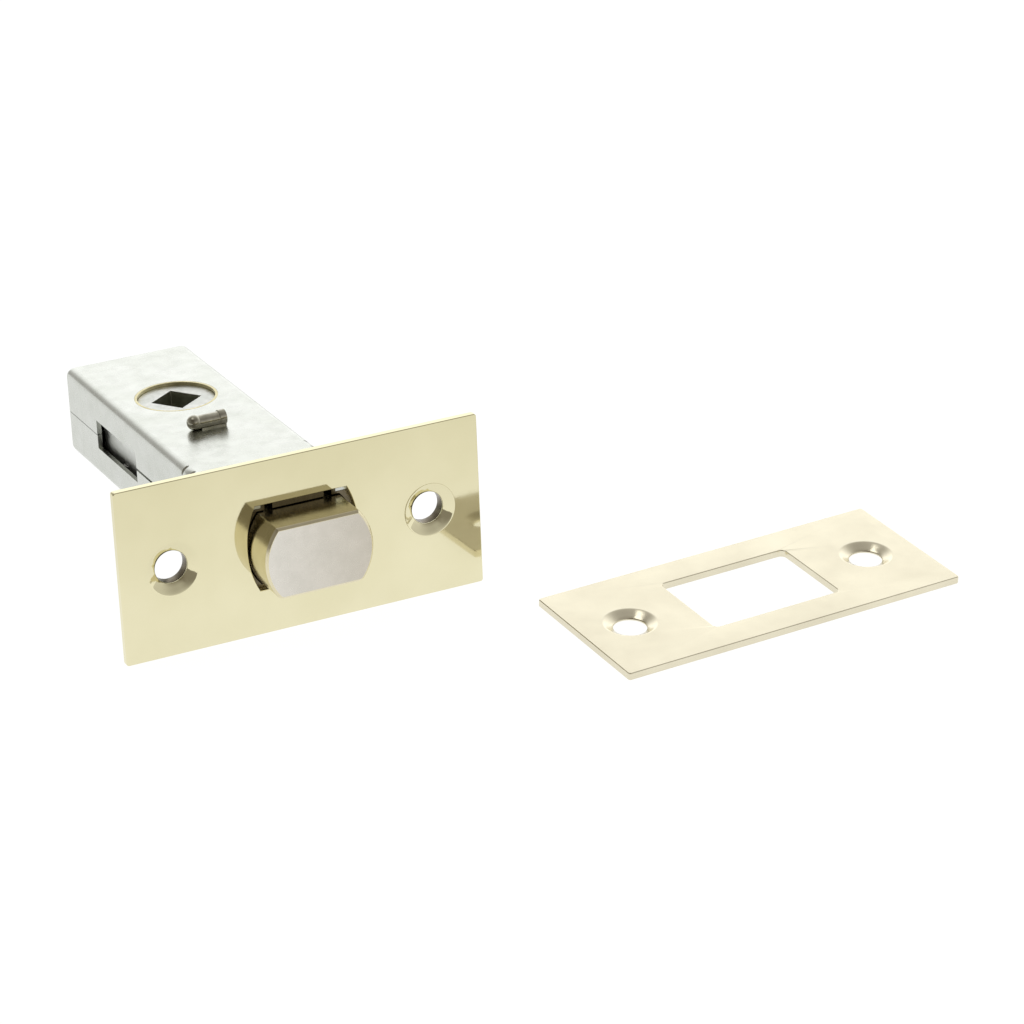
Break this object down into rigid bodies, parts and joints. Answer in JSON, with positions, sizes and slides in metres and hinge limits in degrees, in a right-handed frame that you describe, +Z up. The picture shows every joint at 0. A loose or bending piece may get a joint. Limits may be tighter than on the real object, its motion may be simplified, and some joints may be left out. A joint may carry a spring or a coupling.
{
  "type": "mortice deadbolt",
  "caption": "Slim mortice deadbolt with a spindle-driven flat-sided bolt, brass forend, two-part steel case and a separate flat strike plate.",
  "frame": {"origin": "bottom centre of the bounding box of the lock and the strike plate as they lie on a floor at Z = 0", "axes": "+X along the forend's long side, +Y from the forend towards the rear of the case, +Z up; the lock rests on its forend's lower edge and its case's rear edge, so its own axes are turned 5.02 degrees about -X"},
  "size_m": [0.1138, 0.1, 0.0254],
  "materials": {
    "polished_brass": "polished and lacquered, mirror-like",
    "satin_brass": "satin, pale",
    "plated_steel": "bright zinc plate",
    "blackened_steel": "dark, as seen in the gap over the bolt",
    "zinc_plated_case": "bright zinc plate, satin",
    "satin_bolt": "satin nickel plate on the end face, polished sides",
    "cast_zinc_tail": "zinc, as blanked",
    "cast_zinc_hub": "zinc alloy, as cast",
    "steel_pins": "bright drawn steel",
    "bush_brass": "turned brass",
    "spring_steel": "blued spring steel",
    "black_nylon": "moulded nylon"
  },
  "bodies": {
    "case": {"forend_plate": "polished_brass", "forend_backing_plate": "blackened_steel", "case_upper_shell": "zinc_plated_case", "case_lower_shell": "zinc_plated_case", "shell_pillar": "plated_steel", "rear_rivet": "plated_steel", "bolt_guide": "black_nylon", "upper_hub_bush": "bush_brass", "lower_hub_bush": "bush_brass", "hub_spacer_ring": "black_nylon", "hub_wave_washer": "spring_steel", "detent_spring": "spring_steel", "detent_spring_rivet": "steel_pins"},
    "bolt": {"bolt_head": "satin_bolt", "bolt_tail": "cast_zinc_tail", "tail_rivets": "steel_pins"},
    "hub": {"hub": "cast_zinc_hub", "hub_drive_pin": "steel_pins"},
    "strike": {"strike_plate": "satin_brass"}
  },
  "joints": [
    {"name": "hub_turn", "type": "hinge", "parent": "case", "child": "hub", "pos_m": [-0.02988, 0.02942, 0.00883], "axis": [0, 0.0876, 0.9962], "range_deg": [-41.17, 48.44]},
    {"name": "bolt_slide", "type": "slide", "parent": "case", "child": "bolt", "axis": [0, -0.9962, 0.0876], "range_m": [-0.0051, 0.006]},
    {"name": "strike_lift", "type": "slide", "parent": "case", "child": "strike", "axis": [0, 0, 1], "range_m": [0, 0.03]}
  ],
  "couplings": [
    {"joint": "hub_turn", "follows": "bolt_slide", "rad_per_m": 140.9}
  ]
}
